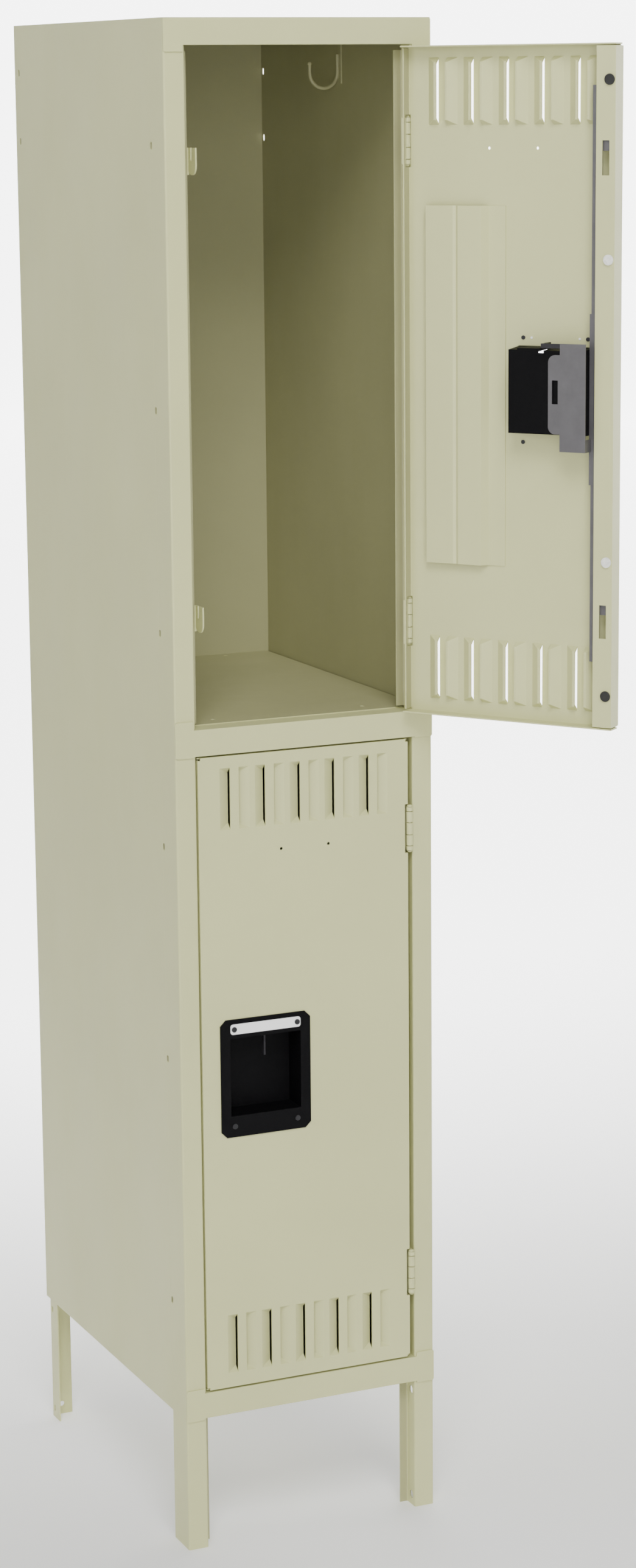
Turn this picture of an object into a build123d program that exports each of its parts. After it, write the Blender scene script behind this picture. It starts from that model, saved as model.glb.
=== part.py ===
from build123d import *
from math import cos, radians, sin
import os

# Two-tier school locker on legs, 12 x 18 x 66 in. All sizes are in millimetres.
# The origin is on the floor, under the centre of the body. X is to the right, Y to the back.

inch = 25.4
width = 12 * inch
depth = 18 * inch
height = 66 * inch
leg_height = 6 * inch

frame_sheet = 1.5
panel_sheet = 1.0
bend_radius = 2.0
fit_gap = 0.1

half_width = width / 2
front = -depth / 2
rail_back_of_plate = front + frame_sheet
top = height
panel_top = top - panel_sheet

# Posts: side flange, front face, web beside the opening and door stop.
post_face = 23.8
post_side = 42.5
stop_front = front + 21.5
stop_width = 9.2
opening_half = half_width - post_face

# Rails: height above the floor of the lower and upper edge, and of the ends that lap the posts.
top_rail_low = 1648.6
middle_rail_low, middle_rail_high = 903.4, 932.3
bottom_rail_low, bottom_rail_high = 153.8, 183.0
rail_lap = post_face - 2.3
top_lap_low = 1641.7
middle_lap_low, middle_lap_high = 902.3, 941.8
bottom_lap_low, bottom_lap_high = 151.6, 188.1
rail_web = 27.0
shelf_ledge = 32.0
stop_relief = 3.0
rail_corner = 2.5

# Body panels.
back_plane = front + 448.4
back_rim = 7.8
shelf_half = half_width - 2.7
shelf_front = front + 25.0
shelf_flange = 15.0
shelf_flange_inset = 9.0
shelf_hole_radius = 2.5
shelf_hole_x = 89.6
shelf_hole_front, shelf_hole_rear = front + 47.0, front + 436.0
joggle_lap = 18.0

# Slots for joining lockers side by side, and the rear legs.
slot_length = 8.0
slot_width = 5.0
front_slot_y = front + 39.0
front_slot_heights = (283.3, 561.5, 799.7, 1033.4, 1271.3, 1546.6)
rear_slot_y = front + 444.0
rear_slot_heights = (1547.0, 1623.5)
leg_flange = 25.0
leg_sheet_x = half_width - panel_sheet
leg_inside_body = 52.0
leg_back_flange_top = leg_height - 4.4
anchor_radius = 3.25
anchor_height = 13.0
anchor_inset = 12.6
leg_slot_heights = (12.0, 140.0)
front_leg_slot_depth = 11.0
front_leg_slot_length = 10.0
front_leg_slot_width = 8.0
rear_leg_slot_inset = 8.0

# Doors: both are the same pan, set in the two openings.
door_gap = 2.0
lock_gap = 1.5
door_depth = 18.5
door_face = front + 0.5
hinge_flange = 13.0
return_lip = 21.7
lip_relief = 2.7
corner_notch = 3.0
hinge_x = half_width - 27.8
hinge_y = front + 0.3
door_edge_gap = 2.0
upper_open_angle = 126.0

# Louvres: flat strips in the door face, with the metal beside them pressed inward.
strip_width = 10.5
strip_pitch = 41.25
strip_count = 5
louvre_height = 68.0
louvre_top_inset = 13.2
louvre_bottom_inset = 16.5
ramp_width = 12.0
ramp_depth = 6.6
ramp_end = 6.0
ramp_tip = 0.8
ramp_wall = 1.8

# Hinges: five knuckles each, three on the frame leaf and two on the door leaf.
hinge_offset = 257.5
knuckle_radius = 3.8
pin_radius = 1.6
pin_clearance = 0.05
knuckle_gap = 0.8
knuckle_heights = (5.4, 12.5, 13.7, 12.5, 5.4)
pin_head_height = 1.8
pin_head_radius = 3.5
pin_head_taper = 40.0
leaf_sheet = 1.6
frame_leaf_depth = 16.0
door_leaf_depth = 13.0
notch_clearance = 1.8
notch_depth = 10.0
leaf_joggle = 0.7
leaf_joggle_depth = 9.5

# Latch: a lock bar slides in the door's channel and drops into a hooked strike at each end.
latch_offset = 240.5
latch_slot_x = -half_width + 36.0
latch_slot_width = 8.0
latch_slot_height = 35.4
strike_sheet = 1.6
strike_low, strike_high = -14.7, 13.3
strike_reach = front + 4.0
strike_notch_floor = 0.3
strike_notch_width = 4.0
strike_nose = (strike_high - strike_low) / 3
strike_foot_x = -half_width + 25.5
bar_front = front + 14.5
bar_sheet = 2.0
bar_back = bar_front + bar_sheet
bar_clearance = 1.0
bar_lock_edge = -half_width + 29.5
bar_inner_edge = -half_width + 52.0
bar_wide_edge = -half_width + 54.0
bar_wide_low, bar_wide_high = -97.0, 81.0
bar_low, bar_high = -284.0, 314.0
bar_window_low, bar_window_high = -28.0, 7.1
bar_window_left, bar_window_right = -half_width + 31.5, -half_width + 41.0
lift_travel = 10.0

# Lift bracket, and the finger lift that hangs from it into the pocket.
bracket_front = front + 30.0
bracket_sheet = 1.5
bracket_edge = -half_width + 51.6
bracket_wing_edge = -half_width + 81.0
wing_tip = -half_width + 94.5
bracket_low, bracket_high = -62.0, 50.5
wing_low, wing_high = -43.8, 38.7
wing_radius = 8.0
wing_window_low, wing_window_high = -12.4, 12.4
wing_window_left, wing_window_right = -half_width + 83.2, -half_width + 90.2
bracket_foot_height = 13.0
lift_arm_start = -half_width + 75.0
lift_arm_low, lift_arm_high = 45.5, 50.2
lift_left, lift_right = -half_width + 102.0, -half_width + 103.8
lift_low = 17.7
lift_tip = front + 9.0
lift_heel = front + 14.5

# Recessed handle pocket and its trim.
pocket_x = -half_width + 100.0
pocket_z = -2.0
pocket_width = 107.4
pocket_height = 133.6
pocket_chamfer = 6.6
pocket_flange = 1.2
recess_width, recess_height = 84.0, 88.0
recess_z = -0.8
recess_taper = 3.5
recess_floor = front + 27.9
pocket_wall = 1.5
pocket_room = pocket_wall + 0.4
pocket_guard_edge = -half_width + 54.8
pocket_guard_rear_edge = -half_width + 54.0
pocket_guard_low, pocket_guard_high = -45.0, 44.0
pocket_ledge_left, pocket_ledge_right = 7.5, 31.5
pocket_ledge_height = 3.4
lift_slot_clearance = 1.1
lift_slot_right = 3.5
lift_slot_low = 40.2
plate_width, plate_height = 83.5, 11.6
plate_thickness = 0.8
plate_corner = 3.0
plate_z = 53.7
rivet_x = 37.6
rivet_low_z = -56.5
rivet_radius = 1.6
rivet_head_radius = 3.0
rivet_tail_radius = 2.2
rivet_head = 0.9
rivet_clearance = 0.05
peg_radius = 1.3
peg_x = 28.0
peg_tail = 0.5
label_hole_radius = 1.6
label_hole_x = 28.2
label_hole_z = 250.0

# Stiffener: a hat section behind the door face.
stiffener_hinge_edge = -half_width + 250.0
stiffener_crease = -half_width + 214.5
stiffener_ridge_edge = -half_width + 184.0
stiffener_foot_edge = -half_width + 178.0
stiffener_end = -half_width + 158.5
stiffener_half_height = 190.5
stiffener_rise = 8.0
crease_depth = 1.6
crease_half = 3.0
stiffener_sheet = 1.0

# Bumpers and bar guides in the return lip.
bumper_x = -half_width + 31.8
bumper_z = 319.5
bumper_radius = 5.7
bumper_height = 2.1
bumper_stem = 2.6
bumper_stem_length = 2.0
bumper_round = 0.8
guide_heights = (-177.0, 137.0)
guide_radius = 5.5
guide_head = 1.9
guide_stem = 2.8
guide_back_radius = 4.6
guide_back = 1.6
guide_play = 0.4
cut_over = 1.0

# Coat hooks on the side walls.
hook_y = 0.0
hook_drop = 18.0
hook_wire = 2.1
hook_tip_radius = 2.8
hook_bowl = 17.0
hook_shank = 20.0
hook_plate_height, hook_plate_width, hook_plate_sheet = 44.0, 14.0, 1.6

tiers = {
    "upper": (middle_rail_high, top_rail_low, upper_open_angle),
    "lower": (bottom_rail_high, middle_rail_low, 0.0),
}
sides = {"left": -1, "right": 1}
parts_folder = "parts"
os.makedirs(parts_folder, exist_ok=True)


def save(part, name):
    """Labels a finished piece and writes it to its own STEP file."""
    part.label = name
    export_step(part, f"{parts_folder}/{name}.step")


def span(low, high):
    """Centre and length of a stretch."""
    return (low + high) / 2, high - low


def block(x_low, x_high, y_low, y_high, z_low, z_high, mode=Mode.ADD):
    """A box between six faces, in the body's own axes."""
    x, wide = span(x_low, x_high)
    y, long = span(y_low, y_high)
    with BuildSketch(Plane.XY.offset(z_low)) as plan_view:
        with Locations((x, y)):
            Rectangle(wide, long)
    extrude(plan_view.sketch, amount=z_high - z_low, mode=mode)


# ---------------------------------------------------------------- front frame

for name, side in sides.items():
    turn = Side.LEFT if side < 0 else Side.RIGHT
    outer = side * half_width
    web = side * opening_half
    with BuildPart() as post:
        with BuildSketch(Plane.XY):
            with BuildLine():
                FilletPolyline(
                    (outer, front + post_side),
                    (outer, rail_back_of_plate),
                    (web, rail_back_of_plate),
                    (web, stop_front),
                    (web - side * stop_width, stop_front),
                    radius=bend_radius,
                )
                offset(amount=frame_sheet, side=turn)
            make_face()
        extrude(amount=panel_top)
        # The door stop is cut away where the rails pass.
        stop_x = sorted((web, web - 2 * side * stop_width))
        for low, high in (
            (top_rail_low - 2 * stop_relief, top),
            (middle_rail_low - stop_relief, middle_rail_high + stop_relief),
            (bottom_rail_low - stop_relief, bottom_rail_high + stop_relief),
        ):
            block(
                *stop_x, stop_front - 2 * bend_radius, stop_front + 2 * frame_sheet,
                low, high, Mode.SUBTRACT,
            )
        with BuildSketch(Plane.YZ):
            for z in front_slot_heights:
                with Locations((front_slot_y, z)):
                    SlotOverall(slot_length, slot_width, rotation=90)
        extrude(amount=outer, mode=Mode.SUBTRACT)
        with BuildSketch(Plane.YZ):
            for z in leg_slot_heights:
                with Locations((front + front_leg_slot_depth, z)):
                    SlotOverall(front_leg_slot_length, front_leg_slot_width, rotation=90)
        extrude(amount=side * (opening_half + 2 * frame_sheet), mode=Mode.SUBTRACT)
    save(post.part, f"{name}_post")

rails = {
    "top_rail": (top_rail_low, top, top_lap_low, top, top_rail_low, panel_top - frame_sheet),
    "middle_rail": (
        middle_rail_low, middle_rail_high, middle_lap_low, middle_lap_high,
        middle_rail_low, middle_rail_high - frame_sheet,
    ),
    "bottom_rail": (
        bottom_rail_low, bottom_rail_high, bottom_lap_low, bottom_lap_high,
        bottom_rail_low, bottom_rail_high - frame_sheet,
    ),
}
for name, (low, high, lap_low, lap_high, lower_web, upper_web) in rails.items():
    ledge = rail_web if name == "top_rail" else shelf_ledge
    with BuildPart() as rail:
        with BuildSketch(Plane.XZ.offset(-rail_back_of_plate)) as outline:
            z, tall = span(low, high)
            with Locations((0, z)):
                Rectangle(width, tall)
            lap_z, lap_tall = span(lap_low, lap_high)
            with Locations(*((s * (half_width - rail_lap / 2), lap_z) for s in sides.values())):
                Rectangle(rail_lap, lap_tall)
            ends = outline.vertices().group_by(Axis.X)
            fillet(ends[0] + ends[-1], rail_corner)
        extrude(amount=frame_sheet)
        inner = opening_half - fit_gap
        block(-inner, inner, front, front + rail_web, lower_web, lower_web + frame_sheet)
        block(-inner, inner, front, front + ledge, upper_web, upper_web + frame_sheet)
    save(rail.part, name)

# ---------------------------------------------------------------- body panels

for name, side in sides.items():
    outer = side * half_width
    inner = side * (half_width - panel_sheet)
    lap = side * (half_width - frame_sheet)
    lap_inner = side * (half_width - frame_sheet - panel_sheet)
    seam = front + post_side + fit_gap
    with BuildPart() as side_panel:
        with BuildSketch(Plane.XY.offset(leg_height)):
            with BuildLine():
                Polyline(
                    (outer, back_plane - fit_gap),
                    (outer, seam),
                    (lap, seam),
                    (lap, seam - joggle_lap),
                    (lap_inner, seam - joggle_lap),
                    (lap_inner, seam + panel_sheet),
                    (inner, seam + panel_sheet),
                    (inner, back_plane - fit_gap),
                    close=True,
                )
            make_face()
        extrude(amount=panel_top - leg_height)
        with BuildSketch(Plane.YZ):
            for z in front_slot_heights:
                with Locations((front_slot_y, z)):
                    SlotOverall(slot_length, slot_width, rotation=90)
            for z in rear_slot_heights:
                with Locations((rear_slot_y, z)):
                    SlotOverall(slot_length, slot_width, rotation=90)
        extrude(amount=outer, mode=Mode.SUBTRACT)
    save(side_panel.part, f"{name}_side_panel")

rear = back_plane + panel_sheet + back_rim
with BuildPart() as back_panel:
    block(-half_width, half_width, back_plane, rear, leg_height, panel_top)
    inside = half_width - panel_sheet
    block(
        -inside, inside, back_plane + panel_sheet, rear,
        leg_height + panel_sheet, panel_top - panel_sheet, Mode.SUBTRACT,
    )
save(back_panel.part, "back_panel")

with BuildPart() as top_panel:
    block(-half_width, half_width, rail_back_of_plate, rear, panel_top, top)
    for side in sides.values():
        flange_x = sorted((side * shelf_half, side * (shelf_half - panel_sheet)))
        block(
            *flange_x, front + post_side, back_plane - shelf_flange_inset,
            panel_top - shelf_flange, panel_top,
        )
save(top_panel.part, "top_panel")

for name, level in (("middle_shelf", middle_rail_high), ("bottom_shelf", bottom_rail_high)):
    with BuildPart() as shelf:
        shelf_rear = back_plane - fit_gap
        block(-shelf_half, shelf_half, shelf_front, shelf_rear, level, level + panel_sheet)
        for side in sides.values():
            flange_x = sorted((side * shelf_half, side * (shelf_half - panel_sheet)))
            block(
                *flange_x, front + post_side, shelf_rear - shelf_flange_inset,
                level - shelf_flange, level,
            )
        block(
            -shelf_half + leg_flange, shelf_half - leg_flange,
            shelf_rear - panel_sheet, shelf_rear, level - shelf_flange, level,
        )
        hole_rows = (shelf_hole_front, shelf_hole_rear)
        corners = [(s * shelf_hole_x, y) for s in sides.values() for y in hole_rows]
        with Locations(*((x, y, level + panel_sheet) for x, y in corners)):
            Hole(shelf_hole_radius, depth=2 * panel_sheet)
    save(shelf.part, name)

for name, side in sides.items():
    outer = side * leg_sheet_x
    leg_rear = back_plane - fit_gap
    with BuildPart() as leg:
        with BuildSketch(Plane.XY):
            with BuildLine():
                FilletPolyline(
                    (outer, leg_rear - leg_flange),
                    (outer, leg_rear),
                    (outer - side * leg_flange, leg_rear),
                    radius=bend_radius,
                )
                offset(amount=frame_sheet, side=Side.RIGHT if side < 0 else Side.LEFT)
            make_face()
        extrude(amount=leg_back_flange_top)
        flange_x = sorted((outer, outer - side * frame_sheet))
        block(
            *flange_x, leg_rear - leg_flange, leg_rear - bend_radius,
            leg_back_flange_top - bend_radius, leg_height + leg_inside_body,
        )
        with BuildSketch(Plane.YZ):
            for z in leg_slot_heights:
                with Locations((leg_rear - rear_leg_slot_inset, z)):
                    SlotOverall(slot_length, slot_width, rotation=90)
        extrude(amount=outer, mode=Mode.SUBTRACT)
        with BuildSketch(Plane.XZ.offset(-leg_rear)):
            with Locations((side * (half_width - anchor_inset), anchor_height)):
                Circle(anchor_radius)
        extrude(amount=2 * frame_sheet, mode=Mode.SUBTRACT)
    save(leg.part, f"rear_{name}_leg")

# ------------------------------------------- fittings of each tier on the body

hinge_height = sum(knuckle_heights)


def knuckles():
    """Low and high end of each knuckle, from the hinge's own centre."""
    z = -hinge_height / 2
    ends = []
    for tall in knuckle_heights:
        ends.append((z + knuckle_gap / 2, z + tall - knuckle_gap / 2))
        z += tall
    return ends


for tier, (low, high, _) in tiers.items():
    middle = (low + high) / 2
    latch_levels = (middle - latch_offset, middle + latch_offset)
    hinge_levels = (middle - hinge_offset, middle + hinge_offset)

    with BuildPart() as strikes:
        for level in latch_levels:
            strike_y, strike_long = span(strike_reach, stop_front + frame_sheet + strike_sheet)
            strike_z, strike_tall = span(strike_low, strike_high)
            with BuildSketch(Plane.YZ.offset(latch_slot_x - strike_sheet / 2)) as hook_plate:
                with Locations((strike_y, level + strike_z)):
                    Rectangle(strike_long, strike_tall)
                nose = hook_plate.vertices().group_by(Axis.Y)[0]
                fillet(nose, strike_nose)
                notch_z, notch_tall = span(strike_notch_floor, strike_high + strike_nose)
                with Locations((bar_front + bar_sheet / 2, level + notch_z)):
                    Rectangle(strike_notch_width, notch_tall, mode=Mode.SUBTRACT)
            extrude(amount=strike_sheet)
            block(
                strike_foot_x, latch_slot_x,
                stop_front + frame_sheet, stop_front + frame_sheet + strike_sheet,
                level + strike_low, level + strike_high,
            )
    save(strikes.part, f"{tier}_strikes")

    with BuildPart() as frame_leaves:
        for level in hinge_levels:
            for start, end in knuckles()[::2]:
                with BuildSketch(Plane.XY.offset(level + start)):
                    with Locations((hinge_x, hinge_y)):
                        Circle(knuckle_radius)
                extrude(amount=end - start)
            block(
                opening_half - leaf_sheet, opening_half,
                hinge_y, hinge_y + frame_leaf_depth,
                level - hinge_height / 2, level + hinge_height / 2,
            )
            # Room for the door's knuckles between the frame's.
            for start, end in knuckles()[1::2]:
                with BuildSketch(Plane.XY.offset(level + start - knuckle_gap)):
                    with Locations((hinge_x, hinge_y)):
                        Circle(knuckle_radius + knuckle_gap)
                extrude(amount=end - start + 2 * knuckle_gap, mode=Mode.SUBTRACT)
            with BuildSketch(Plane.XY.offset(level - hinge_height)):
                with Locations((hinge_x, hinge_y)):
                    Circle(pin_radius + pin_clearance)
            extrude(amount=2 * hinge_height, mode=Mode.SUBTRACT)
    save(frame_leaves.part, f"{tier}_frame_hinge_leaves")

    with BuildPart() as pins:
        for level in hinge_levels:
            with BuildSketch(Plane.XY.offset(level - hinge_height / 2)):
                with Locations((hinge_x, hinge_y)):
                    Circle(pin_radius)
            extrude(amount=hinge_height)
            for z, grow in ((level - hinge_height / 2, -1), (level + hinge_height / 2, 1)):
                with BuildSketch(Plane.XY.offset(z)):
                    with Locations((hinge_x, hinge_y)):
                        Circle(pin_head_radius)
                extrude(amount=grow * pin_head_height, taper=pin_head_taper)
    save(pins.part, f"{tier}_hinge_pins")

    hook_level = high - hook_drop
    with BuildPart() as hooks:
        for side in sides.values():
            wall = side * (half_width - panel_sheet)
            face_of_plate = wall - side * hook_plate_sheet
            shank = face_of_plate - side * hook_wire / 2
            plate_x = sorted((wall, face_of_plate))
            block(
                *plate_x, hook_y - hook_plate_width / 2, hook_y + hook_plate_width / 2,
                hook_level - hook_plate_height / 2, hook_level + hook_plate_height / 2,
            )
            with BuildLine() as wire:
                down = Line(
                    (shank, hook_y, hook_level + hook_shank / 2),
                    (shank, hook_y, hook_level - hook_shank / 2),
                )
                bowl = TangentArc(
                    down @ 1,
                    (shank - side * 2 * hook_bowl, hook_y, hook_level - hook_shank / 2),
                    tangent=(0, 0, -1),
                )
                tip = Line(bowl @ 1, (shank - side * 2 * hook_bowl, hook_y, hook_level))
            with BuildSketch(Plane(origin=down @ 0, z_dir=(0, 0, -1))):
                Circle(hook_wire)
            sweep(path=wire.wires()[0])
            with Locations(tip @ 1):
                Sphere(hook_tip_radius)
    save(hooks.part, f"{tier}_coat_hooks")

# ---------------------------------------------------------------- the doors


for tier, (low, high, angle) in tiers.items():
    bottom, door_top = low + door_gap, high - door_gap
    middle = (low + high) / 2
    tall = door_top - bottom
    turn = radians(angle)
    along = (cos(turn), sin(turn), 0)
    outward = (sin(turn), -cos(turn), 0)
    axis_point = (hinge_x, hinge_y, middle)

    def face(y):
        """Plane parallel to the door's face, at the depth y of the shut door, facing out."""
        plane = Plane(origin=axis_point, x_dir=along, z_dir=outward)
        return plane.offset(hinge_y - y)

    def plan(z):
        """Horizontal plane, z above the door's middle: x along the door, y into the locker."""
        plane = Plane(origin=axis_point, x_dir=along, z_dir=(0, 0, 1))
        return plane.offset(z)

    def door_block(x_low, x_high, y_low, y_high, z_low, z_high, mode=Mode.ADD):
        """A box in the shut door's axes, with heights from the door's middle."""
        x, wide = span(x_low - hinge_x, x_high - hinge_x)
        y, long = span(y_low - hinge_y, y_high - hinge_y)
        with BuildSketch(plan(z_low)) as plan_view:
            with Locations((x, y)):
                Rectangle(wide, long)
        extrude(plan_view.sketch, amount=z_high - z_low, mode=mode)

    def stud(x, z, y_low, y_high, radius, mode=Mode.ADD):
        """A round stud or hole through the door, from depth y_low to y_high."""
        with BuildSketch(face(y_high)) as round_face:
            with Locations((x - hinge_x, z)):
                Circle(radius)
        extrude(round_face.sketch, amount=y_high - y_low, mode=mode)

    lock_edge = -opening_half + lock_gap
    hinge_edge = hinge_x - door_edge_gap
    door_back = door_face + door_depth
    half_tall = tall / 2
    door_centre = (lock_edge + hinge_edge) / 2
    strip_centres = [door_centre + (i - (strip_count - 1) / 2) * strip_pitch for i in range(strip_count)]
    louvre_rows = (half_tall - louvre_top_inset - louvre_height, -half_tall + louvre_bottom_inset)
    rivet_spots = [(pocket_x + s * rivet_x, z) for s in (-1, 1) for z in (rivet_low_z, plate_z)]

    peg_spots = [(pocket_x + s * peg_x, plate_z) for s in (-1, 1)]

    with BuildPart() as door:
        door_block(lock_edge, hinge_edge, door_face, door_face + frame_sheet, -half_tall, half_tall)
        for z_low in (-half_tall, half_tall - frame_sheet):
            z_high = z_low + frame_sheet
            door_block(lock_edge, hinge_edge, door_face, door_back, z_low, z_high)
        channel_half = half_tall - lip_relief
        door_block(lock_edge, lock_edge + frame_sheet, door_face, door_back, -channel_half, channel_half)
        door_block(
            lock_edge, lock_edge + return_lip, door_back - frame_sheet, door_back,
            -channel_half, channel_half,
        )
        door_block(
            hinge_edge - frame_sheet, hinge_edge, door_face, door_face + hinge_flange,
            -channel_half, channel_half,
        )
        # Corner notches of the folded sheet.
        for x in (lock_edge, hinge_edge):
            for z in (-half_tall, half_tall):
                door_block(
                    x - corner_notch, x + corner_notch,
                    door_face - frame_sheet, door_face + corner_notch,
                    z - corner_notch, z + corner_notch, Mode.SUBTRACT,
                )
        # Louvres: the pressed metal first, then the room in front of it.
        for grow, mode in ((ramp_wall, Mode.ADD), (0, Mode.SUBTRACT)):
            far_low, far_high = ramp_end, louvre_height - ramp_end
            for row in louvre_rows:
                for centre in strip_centres:
                    for side in sides.values():
                        strip_edge = centre + side * strip_width / 2 - hinge_x
                        start = strip_edge if side > 0 else strip_edge - ramp_width - grow
                        tip_low = 0 if side > 0 else ramp_width - ramp_tip
                        corner = plan(row - grow).from_local_coords((start, door_face - hinge_y, 0))
                        with Locations(Plane(origin=corner, x_dir=along, z_dir=(0, 0, 1))):
                            Wedge(
                                ramp_width + grow,
                                ramp_depth + grow,
                                louvre_height + 2 * grow,
                                tip_low,
                                far_low,
                                tip_low + ramp_tip + grow,
                                far_high + 2 * grow,
                                align=None,
                                mode=mode,
                            )
        # Notches that clear the hinge barrels.
        for level in (-hinge_offset, hinge_offset):
            notch_half = hinge_height / 2 + pin_head_height + notch_clearance / 2
            door_block(
                hinge_x - knuckle_radius - notch_clearance, hinge_x,
                door_face - frame_sheet, door_face + notch_depth,
                level - notch_half, level + notch_half, Mode.SUBTRACT,
            )
        # Pocket opening, latch slots and holes.
        door_block(
            pocket_guard_edge - fit_gap, pocket_x + recess_width / 2 + pocket_room,
            door_face - frame_sheet, door_face + 2 * frame_sheet,
            recess_z - recess_height / 2 - pocket_room, recess_z + recess_height / 2 + pocket_room,
            Mode.SUBTRACT,
        )
        for level in (-latch_offset, latch_offset):
            door_block(
                latch_slot_x - latch_slot_width / 2, latch_slot_x + latch_slot_width / 2,
                door_back - 2 * frame_sheet, door_back + frame_sheet,
                level - latch_slot_height / 2, level + latch_slot_height / 2, Mode.SUBTRACT,
            )
        through = (door_face - frame_sheet, door_face + 2 * frame_sheet)
        for x, z in rivet_spots:
            stud(x, z, *through, rivet_radius + rivet_clearance, Mode.SUBTRACT)
        for x, z in peg_spots:
            stud(x, z, *through, peg_radius + rivet_clearance, Mode.SUBTRACT)
        for s in (-1, 1):
            stud(door_centre + s * label_hole_x, label_hole_z, *through, label_hole_radius, Mode.SUBTRACT)
            stud(
                bumper_x, s * bumper_z, door_back - 2 * frame_sheet, door_back + frame_sheet,
                bumper_stem, Mode.SUBTRACT,
            )
        for z in guide_heights:
            stud(
                bumper_x, z, door_back - 2 * frame_sheet, door_back + frame_sheet,
                guide_stem, Mode.SUBTRACT,
            )
    save(door.part, f"{tier}_door_panel")

    with BuildPart() as stiffener:
        foot = door_face + frame_sheet - hinge_y
        ridge = foot + stiffener_rise
        with BuildSketch(plan(-stiffener_half_height)):
            with BuildLine():
                Polyline(
                    (stiffener_hinge_edge - hinge_x, foot),
                    (stiffener_hinge_edge - hinge_x, ridge),
                    (stiffener_crease + crease_half - hinge_x, ridge),
                    (stiffener_crease - hinge_x, ridge - crease_depth),
                    (stiffener_crease - crease_half - hinge_x, ridge),
                    (stiffener_ridge_edge - hinge_x, ridge),
                    (stiffener_foot_edge - hinge_x, foot + stiffener_sheet),
                    (stiffener_end - hinge_x, foot + stiffener_sheet),
                )
                offset(amount=stiffener_sheet, side=Side.LEFT)
            make_face()
        extrude(amount=2 * stiffener_half_height)
    save(stiffener.part, f"{tier}_stiffener")

    with BuildPart() as pocket:
        flange_front = door_face - pocket_flange
        with BuildSketch(face(door_face)) as pocket_plate:
            with Locations((pocket_x - hinge_x, pocket_z)):
                Rectangle(pocket_width, pocket_height)
            chamfer(pocket_plate.vertices(), pocket_chamfer)
        extrude(amount=pocket_flange)
        shell_depth = recess_floor + pocket_wall - door_face
        with BuildSketch(face(door_face)):
            with Locations((pocket_x - hinge_x, recess_z)):
                Rectangle(recess_width + 2 * pocket_wall, recess_height + 2 * pocket_wall)
        extrude(amount=-shell_depth, taper=recess_taper)
        door_block(
            pocket_guard_edge, pocket_x - recess_width / 2 + pocket_wall,
            door_face + frame_sheet / 2, recess_floor + pocket_wall,
            pocket_guard_low, pocket_guard_high,
        )
        door_block(
            pocket_guard_rear_edge, pocket_x - recess_width / 2 + pocket_wall,
            bar_back + bar_clearance, recess_floor + pocket_wall,
            pocket_guard_low, pocket_guard_high,
        )
        ledge_top = recess_z + recess_height / 2 + pocket_wall
        door_block(
            pocket_x + pocket_ledge_left, pocket_x + pocket_ledge_right,
            door_face + frame_sheet + fit_gap, recess_floor + pocket_wall,
            ledge_top - 2 * pocket_ledge_height, ledge_top + fit_gap,
        )
        with BuildSketch(face(flange_front)):
            with Locations((pocket_x - hinge_x, recess_z)):
                Rectangle(recess_width, recess_height)
        extrude(amount=-(recess_floor - flange_front), taper=recess_taper, mode=Mode.SUBTRACT)
        # The finger lift comes in through a notch in the recess's upper rear edge.
        door_block(
            lift_left - lift_slot_clearance, lift_right + lift_slot_right,
            lift_tip - lift_slot_clearance, recess_floor + 2 * pocket_wall,
            lift_slot_low, ledge_top + pocket_wall, Mode.SUBTRACT,
        )
        flange_through = (flange_front - cut_over, door_face + cut_over)
        for x, z in rivet_spots:
            stud(x, z, *flange_through, rivet_radius + rivet_clearance, Mode.SUBTRACT)
        for x, z in peg_spots:
            stud(x, z, *flange_through, peg_radius + rivet_clearance, Mode.SUBTRACT)
    save(pocket.part, f"{tier}_handle_pocket")

    with BuildPart() as number_plate:
        with BuildSketch(face(flange_front)):
            with Locations((pocket_x - hinge_x, plate_z)):
                RectangleRounded(plate_width, plate_height, plate_corner)
        extrude(amount=plate_thickness)
        for x, z in rivet_spots:
            stud(
                x, z, flange_front - 2 * cut_over, flange_front + cut_over,
                rivet_radius + rivet_clearance, Mode.SUBTRACT,
            )
        for x, z in peg_spots:
            stud(x, z, flange_front, door_face + frame_sheet + peg_tail, peg_radius)
    save(number_plate.part, f"{tier}_number_plate")

    with BuildPart() as rivets:
        for x, z in rivet_spots:
            seat = flange_front - (plate_thickness if z == plate_z else 0)
            stud(x, z, seat, door_face + frame_sheet, rivet_radius)
            stud(x, z, seat - rivet_head, seat, rivet_head_radius)
            stud(x, z, door_face + frame_sheet, door_face + frame_sheet + rivet_head, rivet_tail_radius)
    save(rivets.part, f"{tier}_pocket_rivets")

    with BuildPart() as bumpers:
        for z in (-bumper_z, bumper_z):
            stud(bumper_x, z, door_back, door_back + bumper_height, bumper_radius)
            stud(bumper_x, z, door_back - bumper_stem_length, door_back, bumper_stem)
        rims = bumpers.edges().filter_by(GeomType.CIRCLE).filter_by(lambda e: e.radius > bumper_stem)
        fillet(rims, bumper_round)
    save(bumpers.part, f"{tier}_rubber_bumpers")

    with BuildPart() as guides:
        for z in guide_heights:
            stud(bumper_x, z, door_back, door_back + guide_head, guide_radius)
            stud(bumper_x, z, bar_front - guide_back, door_back, guide_stem - fit_gap)
            stud(
                bumper_x, z, bar_front - guide_play - guide_back, bar_front - guide_play,
                guide_back_radius,
            )
    save(guides.part, f"{tier}_bar_guides")

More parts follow.
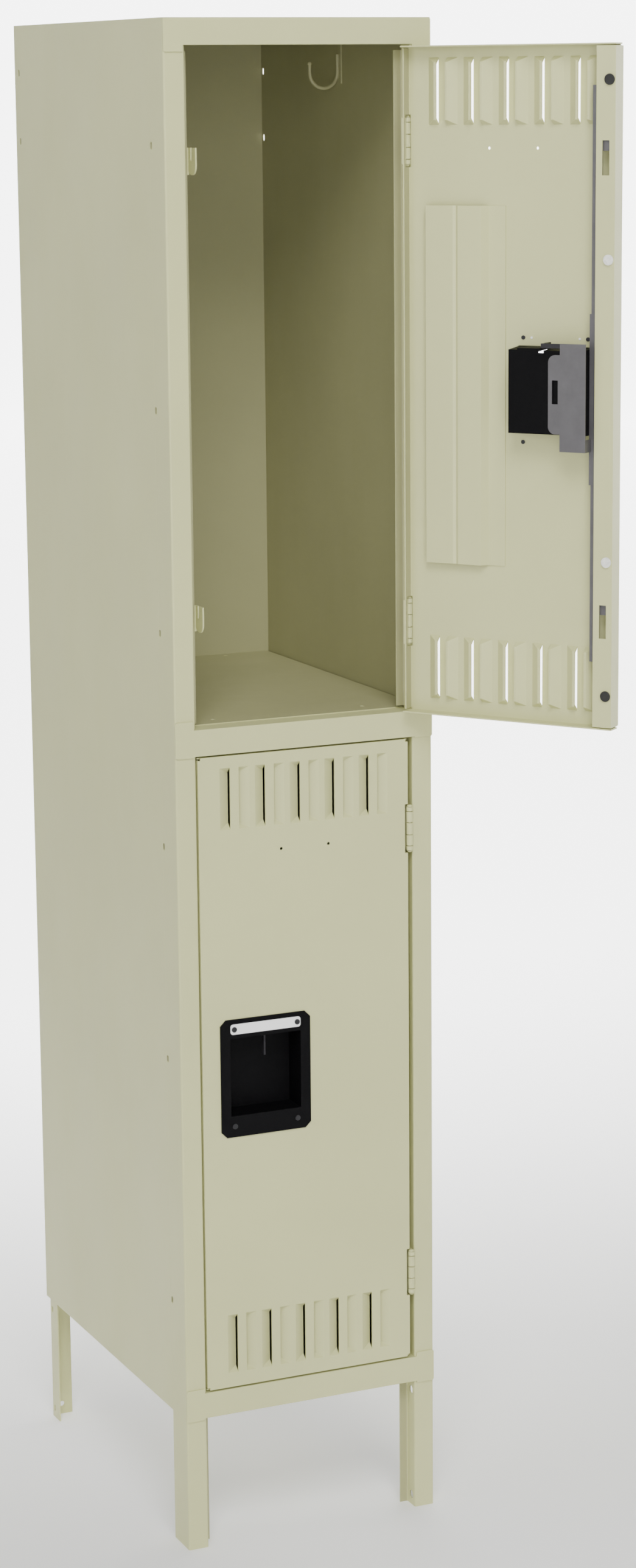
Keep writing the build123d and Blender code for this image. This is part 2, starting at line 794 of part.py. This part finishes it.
    with BuildPart() as door_leaves:
        for level in (-hinge_offset, hinge_offset):
            leaf_ends = knuckles()
            leaf_low, leaf_high = level + leaf_ends[0][0], level + leaf_ends[-1][1]
            door_block(
                hinge_edge + leaf_joggle, hinge_edge + leaf_joggle + leaf_sheet,
                hinge_y, hinge_y + leaf_joggle_depth, leaf_low, leaf_high,
            )
            door_block(
                hinge_edge, hinge_edge + leaf_sheet,
                hinge_y + leaf_joggle_depth - leaf_sheet, hinge_y + door_leaf_depth, leaf_low, leaf_high,
            )
            for start, end in leaf_ends[::2]:
                with BuildSketch(plan(level + start - knuckle_gap)):
                    Circle(knuckle_radius + knuckle_gap)
                extrude(amount=end - start + 2 * knuckle_gap, mode=Mode.SUBTRACT)
            for start, end in leaf_ends[1::2]:
                with BuildSketch(plan(level + start)):
                    Circle(knuckle_radius)
                extrude(amount=end - start)
            with BuildSketch(plan(level - hinge_height)):
                Circle(pin_radius + pin_clearance)
            extrude(amount=2 * hinge_height, mode=Mode.SUBTRACT)
    save(door_leaves.part, f"{tier}_door_hinge_leaves")

    with BuildPart() as lock_bar:
        door_block(bar_lock_edge, bar_inner_edge, bar_front, bar_back, bar_low, bar_high)
        door_block(
            bar_inner_edge - cut_over, bar_wide_edge, bar_front, bar_back, bar_wide_low, bar_wide_high
        )
        for level in (-latch_offset, latch_offset):
            door_block(
                bar_window_left, bar_window_right, bar_front - cut_over, bar_back + cut_over,
                level + bar_window_low, level + bar_window_high, Mode.SUBTRACT,
            )
        # Each guide's slot lets the bar rise by its travel.
        for z in guide_heights:
            slot_half = guide_stem + guide_play
            door_block(
                bumper_x - slot_half, bumper_x + slot_half, bar_front - cut_over, bar_back + cut_over,
                z - slot_half - lift_travel, z + slot_half, Mode.SUBTRACT,
            )
    save(lock_bar.part, f"{tier}_lock_bar")

    with BuildPart() as bracket:
        bracket_back = bracket_front + bracket_sheet
        with BuildSketch(face(bracket_back)) as bracket_outline:
            wing_x, wing_wide = span(bracket_wing_edge, wing_tip)
            wing_z, wing_tall = span(wing_low, wing_high)
            with Locations((wing_x - hinge_x, wing_z)):
                Rectangle(wing_wide, wing_tall)
            fillet(bracket_outline.vertices().group_by(Axis.X)[-1], wing_radius)
            plate_x, plate_wide = span(bracket_edge, bracket_wing_edge)
            plate_mid, plate_tall = span(bracket_low, bracket_high)
            with Locations((plate_x - hinge_x, plate_mid)):
                Rectangle(plate_wide, plate_tall)
            window_x, window_wide = span(wing_window_left, wing_window_right)
            window_z, window_tall = span(wing_window_low, wing_window_high)
            with Locations((window_x - hinge_x, window_z)):
                Rectangle(window_wide, window_tall, mode=Mode.SUBTRACT)
        extrude(amount=bracket_sheet)
        door_block(
            bracket_edge, bracket_edge + bracket_sheet, bar_back, bracket_back,
            bracket_low, bracket_low + bracket_foot_height,
        )
    save(bracket.part, f"{tier}_lift_bracket")

    with BuildPart() as finger_lift:
        # The arm laps the bracket; the blade reaches forward over the recess and hangs into it.
        arm_front = bracket_front - bracket_sheet
        door_block(lift_arm_start, lift_right, arm_front, bracket_front, lift_arm_low, lift_arm_high)
        door_block(lift_left, lift_right, lift_tip, bracket_front, lift_arm_low, lift_arm_high)
        door_block(lift_left, lift_right, lift_tip, lift_heel, lift_low, lift_arm_high)
    save(finger_lift.part, f"{tier}_finger_lift")
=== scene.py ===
import math

import bpy
from mathutils import Matrix, Vector

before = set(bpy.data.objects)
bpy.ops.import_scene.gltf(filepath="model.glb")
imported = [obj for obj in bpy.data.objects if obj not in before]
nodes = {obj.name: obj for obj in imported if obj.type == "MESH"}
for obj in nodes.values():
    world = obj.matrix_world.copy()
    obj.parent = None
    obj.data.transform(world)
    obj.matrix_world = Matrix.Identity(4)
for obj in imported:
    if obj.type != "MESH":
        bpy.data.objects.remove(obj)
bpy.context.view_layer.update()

# ------------------------------------------------------------------ materials

BEVEL_SAMPLES = 6
# The cosine between a face's normal and its rounded normal, above which it counts as flat.
FLAT = 0.995
# Where a texture's value starts and ends its change, unless a finish says otherwise.
START, END = 0.3, 0.7
# How far each axis moves for an offset, which gives each noise its own place.
NOISE_SHIFT = (1.0, 0.7, 1.3)
# A noise's scale along each axis. A smaller third number stretches it along the height.
EVEN = (1, 1, 1)
DRAWN = (1, 1, 0.35)
ROLLED = (1, 1, 0.08)

PUTTY = (0.555, 0.56, 0.275)
# Darker putty that paints the shade inside the locker, on the doors' hinge-side flanges and on the coat
# hooks.
PUTTY_PAINTED_SHADE = (0.36, 0.355, 0.185)
LATCH_STEEL = (0.106, 0.102, 0.107)
# Latch steel darkened to paint the shade on the finger lift in its recess.
LATCH_STEEL_PAINTED_SHADE = (0.020, 0.019, 0.022)
BLACK_ENAMEL = (0.0012, 0.0011, 0.0016)
BLACK_RUBBER = (0.014, 0.014, 0.013)
WHITE_NYLON = (0.78, 0.78, 0.72)
WHITE_ENAMEL = (0.93, 0.93, 0.91)
BLACKENED_RIVET = (0.03, 0.03, 0.032)


def node(tree, kind, **values):
    """Adds a shader node and sets its plain attributes and input sockets."""
    n = tree.nodes.new(kind)
    for key, value in values.items():
        if key in n.inputs:
            n.inputs[key].default_value = value
        else:
            setattr(n, key, value)
    return n


def new_material(name, **sockets):
    """A material with its principled shader's own sockets set."""
    mat = bpy.data.materials.new(name)
    mat.use_nodes = True
    shader = mat.node_tree.nodes["Principled BSDF"]
    for key, value in sockets.items():
        shader.inputs[key.replace("_", " ")].default_value = value
    return mat, mat.node_tree, shader


def noise(tree, scale, detail=2.0, rough=0.5, stretch=EVEN, offset=0.0):
    """A noise texture's value, in the object's own metres. scale counts features in a metre."""
    coords = node(tree, "ShaderNodeTexCoord")
    shift = [offset * share for share in NOISE_SHIFT]
    mapping = node(tree, "ShaderNodeMapping", Location=shift, Scale=stretch)
    texture = node(tree, "ShaderNodeTexNoise", Scale=scale, Detail=detail, Roughness=rough)
    tree.links.new(coords.outputs["Object"], mapping.inputs["Vector"])
    tree.links.new(mapping.outputs["Vector"], texture.inputs["Vector"])
    return texture.outputs["Fac"]


def ramp(tree, value, low, high):
    """A colour ramp over a value. Each stop is a position and an RGBA colour."""
    r = node(tree, "ShaderNodeValToRGB")
    for stop, (position, colour) in zip(r.color_ramp.elements, (low, high)):
        stop.position = position
        stop.color = colour
    tree.links.new(value, r.inputs["Fac"])
    return r.outputs["Color"]


def shade(colour, times):
    """The colour made lighter or darker, as RGBA."""
    return (*(min(1.0, c * times) for c in colour), 1.0)


def grey(v):
    """A grey, as RGBA."""
    return (v, v, v, 1.0)


def tones(tree, value, colour, dark, light, end=END):
    """A colour that goes from a darker to a lighter shade as a value rises."""
    return ramp(tree, value, (START, shade(colour, dark)), (end, shade(colour, light)))


def roughen(tree, shader, value, low, high, start=START, end=END):
    """Drives the roughness from low to high as a value rises."""
    rough = ramp(tree, value, (start, grey(low)), (end, grey(high)))
    tree.links.new(rough, shader.inputs["Roughness"])


def bumps(tree, shader, edge, layers):
    """Stacks bump layers, each (texture value, height in metres), on rounded edges."""
    normal = node(tree, "ShaderNodeBevel", Radius=edge, samples=BEVEL_SAMPLES).outputs["Normal"]
    for value, height in layers:
        bump = node(tree, "ShaderNodeBump", Distance=height, Strength=1.0)
        tree.links.new(value, bump.inputs["Height"])
        tree.links.new(normal, bump.inputs["Normal"])
        normal = bump.outputs["Normal"]
    tree.links.new(normal, shader.inputs["Normal"])


def edge_mask(tree, radius, sharp):
    """White on edges within the radius, black on flats. sharp is the cosine that is white."""
    bevel = node(tree, "ShaderNodeBevel", Radius=radius, samples=BEVEL_SAMPLES)
    geometry = node(tree, "ShaderNodeNewGeometry")
    dot = node(tree, "ShaderNodeVectorMath", operation="DOT_PRODUCT")
    tree.links.new(bevel.outputs["Normal"], dot.inputs[0])
    tree.links.new(geometry.outputs["Normal"], dot.inputs[1])
    spread = node(tree, "ShaderNodeMapRange")
    spread.inputs["From Min"].default_value = FLAT
    spread.inputs["From Max"].default_value = sharp
    tree.links.new(dot.outputs["Value"], spread.inputs["Value"])
    return spread.outputs["Result"]


def product(tree, value, factor):
    """A value times a factor, which is another value's socket or a number."""
    multiply = node(tree, "ShaderNodeMath", operation="MULTIPLY")
    tree.links.new(value, multiply.inputs[0])
    if isinstance(factor, float):
        multiply.inputs[1].default_value = factor
    else:
        tree.links.new(factor, multiply.inputs[1])
    return multiply.outputs["Value"]


def mix(tree, factor, under, over):
    """Lays an RGBA colour over a colour socket."""
    m = node(tree, "ShaderNodeMix", data_type="RGBA")
    tree.links.new(factor, m.inputs["Factor"])
    tree.links.new(under, m.inputs["A"])
    m.inputs["B"].default_value = over
    return m.outputs["Result"]


def powder_coat(name, colour, gloss):
    """Baked powder coat: fine orange peel, faint cloudiness, lighter worn edges."""
    mat, tree, shader = new_material(name, Coat_Weight=0.12, Coat_Roughness=0.3)
    cloud = noise(tree, scale=5.0, detail=4.0, rough=0.55)
    tone = tones(tree, cloud, colour, dark=0.965, light=1.03)
    speck = noise(tree, scale=420.0, detail=3.0, rough=0.6, offset=3.1)
    dust = ramp(tree, speck, low=(0.66, grey(0.0)), high=(0.8, grey(0.25)))
    dusty = mix(tree, dust, tone, shade(colour, times=0.86))
    worn = product(tree, edge_mask(tree, radius=0.0012, sharp=0.90), factor=0.35)
    coloured = mix(tree, worn, dusty, shade(colour, times=1.22))
    tree.links.new(coloured, shader.inputs["Base Color"])
    smear = noise(tree, scale=14.0, detail=5.0, rough=0.6, stretch=DRAWN, offset=1.7)
    roughen(tree, shader, smear, low=gloss - 0.05, high=gloss + 0.07)
    peel = noise(tree, scale=700.0, rough=0.45, offset=0.4)
    wave = noise(tree, scale=9.0, detail=1.5, rough=0.4, offset=5.2)
    bumps(tree, shader, edge=0.0007, layers=((wave, 0.0008), (peel, 0.00005)))
    return mat


def plated(name, colour, metal, gloss, grain):
    """Plated or bare steel with a rolled grain, mottling, and lighter edges that are partly rubbed wear
    and partly a painted highlight.
    """
    mat, tree, shader = new_material(name, Metallic=metal)
    mottle = noise(tree, scale=60.0, detail=5.0, rough=0.65, offset=2.3)
    tone = tones(tree, mottle, colour, dark=0.9, light=1.08)
    # Lighter edges: partly rubbed wear, partly a painted highlight along the edges.
    rubbed = edge_mask(tree, radius=0.0008, sharp=0.88)
    coloured = mix(tree, rubbed, tone, shade(colour, times=1.5))
    tree.links.new(coloured, shader.inputs["Base Color"])
    streak = noise(tree, scale=90.0, detail=3.0, rough=0.6, stretch=grain, offset=0.9)
    roughen(tree, shader, streak, low=gloss - 0.07, high=gloss + 0.1, start=0.25, end=0.75)
    bumps(tree, shader, edge=0.0004, layers=((streak, 0.00006), (mottle, 0.00004)))
    return mat


def moulded(name, colour, gloss, pebble, shine=0.5):
    """Plastic, rubber or textured enamel with a fine pebbled skin."""
    mat, tree, shader = new_material(name, Specular_IOR_Level=shine)
    grain = noise(tree, scale=pebble, offset=4.2)
    tone = tones(tree, grain, colour, dark=0.85, light=1.15, end=0.75)
    rubbed = product(tree, edge_mask(tree, radius=0.0006, sharp=0.88), factor=0.4)
    coloured = mix(tree, rubbed, tone, shade(colour, times=1.5))
    tree.links.new(coloured, shader.inputs["Base Color"])
    roughen(tree, shader, grain, low=gloss - 0.05, high=gloss + 0.08)
    bumps(tree, shader, edge=0.0006, layers=((grain, 0.00006),))
    return mat


paint = powder_coat("putty_powder_coat", PUTTY, gloss=0.42)
# Painted shade: the inside faces get a darker, duller putty that stands in for the shade inside the
# locker.
painted_shade_putty = powder_coat("putty_powder_coat_painted_shade", PUTTY_PAINTED_SHADE, gloss=0.5)
white = powder_coat("white_enamel", WHITE_ENAMEL, gloss=0.35)
latch = plated("latch_steel", LATCH_STEEL, metal=0.4, gloss=0.45, grain=ROLLED)
painted_shade_latch = plated("latch_steel_painted_shade", LATCH_STEEL_PAINTED_SHADE, metal=0.4, gloss=0.45, grain=ROLLED)
dark_rivet = plated("blackened_rivet", BLACKENED_RIVET, metal=0.6, gloss=0.4, grain=EVEN)
black = moulded("black_textured_enamel", BLACK_ENAMEL, gloss=0.6, pebble=900.0, shine=0.12)
rubber = moulded("black_rubber", BLACK_RUBBER, gloss=0.7, pebble=500.0)
nylon = moulded("white_nylon", WHITE_NYLON, gloss=0.45, pebble=300.0)

# What isn't named here is painted.
FINISH = {
    "handle_pocket": black,
    "number_plate": white,
    "pocket_rivets": dark_rivet,
    "rubber_bumpers": rubber,
    "bar_guides": nylon,
    "lock_bar": latch,
    "lift_bracket": latch,
    # The finger lift takes the painted-shade steel.
    "finger_lift": painted_shade_latch,
    # The coat hooks take the painted-shade putty of the inside walls.
    "coat_hooks": painted_shade_putty,
}

for name, obj in nodes.items():
    kind = name.removeprefix("upper_").removeprefix("lower_")
    obj.data.materials.clear()
    obj.data.materials.append(FINISH.get(kind, paint))
    for face in obj.data.polygons:
        face.material_index = 0

# The door hinges' line in plan, and how far from it a door's hinge-side flange reaches.
HINGE_LINE = Vector((0.1246, -0.2283))
FLANGE_REACH = 0.018
# How far the upper door stands open.
UPPER_OPEN = math.radians(126.0)
# A post's forward faces that lie deeper than this belong to its door stop.
DOOR_STOP = -0.2186
# The least cosine between a face's normal and a direction that it is said to look in.
SAME_WAY = 0.7


def looks(face, *direction):
    """True if a face looks in a direction."""
    return face.normal.dot(Vector(direction)) > SAME_WAY


def on_flange(face):
    """True if a door's face is on its hinge-side flange."""
    return (face.center.xy - HINGE_LINE).length < FLANGE_REACH


def paint_shade_on(name, is_shaded):
    """Paints shade on a piece's chosen faces with the darker putty."""
    mesh = nodes[name].data
    mesh.materials.append(painted_shade_putty)
    for face in mesh.polygons:
        if is_shaded(face):
            face.material_index = 1


# Painted shade: the faces turned into the locker, and the posts' door stops, take the darker putty.
paint_shade_on("left_side_panel", lambda face: looks(face, 1, 0, 0))
paint_shade_on("right_side_panel", lambda face: looks(face, -1, 0, 0))
paint_shade_on("back_panel", lambda face: looks(face, 0, -1, 0))
paint_shade_on("top_panel", lambda face: looks(face, 0, 0, -1))
for name in ("middle_shelf", "bottom_shelf"):
    paint_shade_on(name, lambda face: looks(face, 0, 0, 1) or looks(face, 0, 0, -1))
for name in ("left_post", "right_post"):
    paint_shade_on(
        name,
        lambda face: looks(face, 0, 1, 0) or (looks(face, 0, -1, 0) and face.center.y > DOOR_STOP),
    )
# The doors' hinge-side flanges, on the face turned to the lock side, also get painted shade.
paint_shade_on(
    "upper_door_panel",
    lambda face: looks(face, -math.cos(UPPER_OPEN), -math.sin(UPPER_OPEN), 0) and on_flange(face),
)
paint_shade_on("lower_door_panel", lambda face: looks(face, -1, 0, 0) and on_flange(face))

# ------------------------------------------------------------------ studio

WHITE = (1.0, 1.0, 1.0, 1.0)

# A round room: flat floor, curved foot, plain wall. Every viewpoint stands inside it.
FLOOR_RADIUS = 13.0
ROOM_RADIUS = 16.0
WALL_TOP = 9.0
SIDES = 96
FOOT_STEPS = 16

# The room glows more the further a point lies behind the object and to its right.
GLOW = 4.2
GLOW_FRONT, GLOW_BACK = -0.4, 2.2
GLOW_LEFT, GLOW_RIGHT = -0.9, 0.5

WORLD_STRENGTH = 0.16
WATCHED = (0.0, 0.0, 0.8)


def place(name, data):
    """Adds an object to the scene."""
    obj = bpy.data.objects.new(name, data)
    bpy.context.scene.collection.objects.link(obj)
    return obj


def room_mesh():
    """The room's mesh: rings of points from the flat floor's edge to the wall's top, round a centre."""
    foot = ROOM_RADIUS - FLOOR_RADIUS
    profile = [(FLOOR_RADIUS, 0.0)]
    for step in range(1, FOOT_STEPS + 1):
        turn = step * math.pi / 2 / FOOT_STEPS
        profile.append((FLOOR_RADIUS + foot * math.sin(turn), foot - foot * math.cos(turn)))
    profile.append((ROOM_RADIUS, WALL_TOP))
    points = [(0.0, 0.0, 0.0)]
    for radius, z in profile:
        for side in range(SIDES):
            turn = side * 2 * math.pi / SIDES
            points.append((radius * math.cos(turn), radius * math.sin(turn), z))
    faces = [(0, 1 + side, 1 + (side + 1) % SIDES) for side in range(SIDES)]
    for ring in range(len(profile) - 1):
        low = 1 + ring * SIDES
        for side in range(SIDES):
            after = (side + 1) % SIDES
            faces.append((low + side, low + SIDES + side, low + SIDES + after, low + after))
    mesh = bpy.data.meshes.new("floor")
    mesh.from_pydata(points, [], faces)
    for face in mesh.polygons:
        face.use_smooth = True
    return mesh


def rise(tree, value, start, end, top=1.0):
    """Rises smoothly from nothing at the start to the top at the end."""
    curve = node(tree, "ShaderNodeMapRange", interpolation_type="SMOOTHSTEP")
    curve.inputs["From Min"].default_value = start
    curve.inputs["From Max"].default_value = end
    curve.inputs["To Max"].default_value = top
    tree.links.new(value, curve.inputs["Value"])
    return curve.outputs["Result"]


def studio_paint():
    """Pale matt paint that glows behind the object."""
    mat, tree, shader = new_material("studio_floor", Roughness=0.8, Emission_Color=WHITE)
    tone = tones(tree, noise(tree, scale=0.8), (1.0, 1.0, 1.0), dark=0.90, light=0.93)
    tree.links.new(tone, shader.inputs["Base Color"])
    coords = node(tree, "ShaderNodeTexCoord")
    axes = node(tree, "ShaderNodeSeparateXYZ")
    tree.links.new(coords.outputs["Object"], axes.inputs["Vector"])
    behind = rise(tree, axes.outputs["Y"], GLOW_FRONT, GLOW_BACK, GLOW)
    across = rise(tree, axes.outputs["X"], GLOW_LEFT, GLOW_RIGHT)
    tree.links.new(product(tree, behind, across), shader.inputs["Emission Strength"])
    return mat


floor = place("floor", room_mesh())
floor.data.materials.append(studio_paint())

world = bpy.data.worlds.new("studio")
bpy.context.scene.world = world
world.use_nodes = True
background = world.node_tree.nodes["Background"]
background.inputs["Color"].default_value = WHITE
background.inputs["Strength"].default_value = WORLD_STRENGTH


def lamp(name, at, aim, size, watts):
    """A square area light at one point, facing another."""
    data = bpy.data.lights.new(name, "AREA")
    data.shape = "SQUARE"
    data.size = size
    data.energy = watts
    obj = place(name, data)
    obj.location = at
    obj.rotation_euler = (Vector(aim) - Vector(at)).to_track_quat("-Z", "Y").to_euler()


lamp("key", at=(-1.3, -3.7, 5.0), aim=WATCHED, size=2.6, watts=272.0)
lamp("fill", at=(-4.5, -0.6, 2.0), aim=WATCHED, size=3.0, watts=36.0)
lamp("front", at=(-1.9, -5.2, 1.4), aim=(0.0, 0.0, 1.0), size=3.0, watts=96.0)
lamp("right_fill", at=(3.8, -3.0, 2.6), aim=(0.2, -0.2, 0.9), size=2.5, watts=8.0)

# ------------------------------------------------------------------ camera

# The camera stands where the locker's own edges put it. Its turns are in degrees.
CAMERA_AT = (-1.4961, -3.5781, 1.6047)
CAMERA_YAW, CAMERA_PITCH, CAMERA_ROLL = 24.265, -11.445, -0.537
SENSOR_WIDTH = 36.0
FOCAL_LENGTH = 79.02
FAR_CLIP = 100.0

yaw, pitch, roll = (math.radians(turn) for turn in (CAMERA_YAW, CAMERA_PITCH, CAMERA_ROLL))
forward = Vector((math.sin(yaw) * math.cos(pitch), math.cos(yaw) * math.cos(pitch), math.sin(pitch)))
level = Vector((math.cos(yaw), -math.sin(yaw), 0.0))
upright = level.cross(forward)
right = level * math.cos(roll) + upright * math.sin(roll)
up = upright * math.cos(roll) - level * math.sin(roll)

camera = place("camera", bpy.data.cameras.new("camera"))
camera.matrix_world = Matrix.Translation(CAMERA_AT) @ Matrix(
    ((right.x, up.x, -forward.x), (right.y, up.y, -forward.y), (right.z, up.z, -forward.z))
).to_4x4()
camera.data.sensor_width = SENSOR_WIDTH
camera.data.lens = FOCAL_LENGTH
camera.data.clip_end = FAR_CLIP
bpy.context.scene.camera = camera
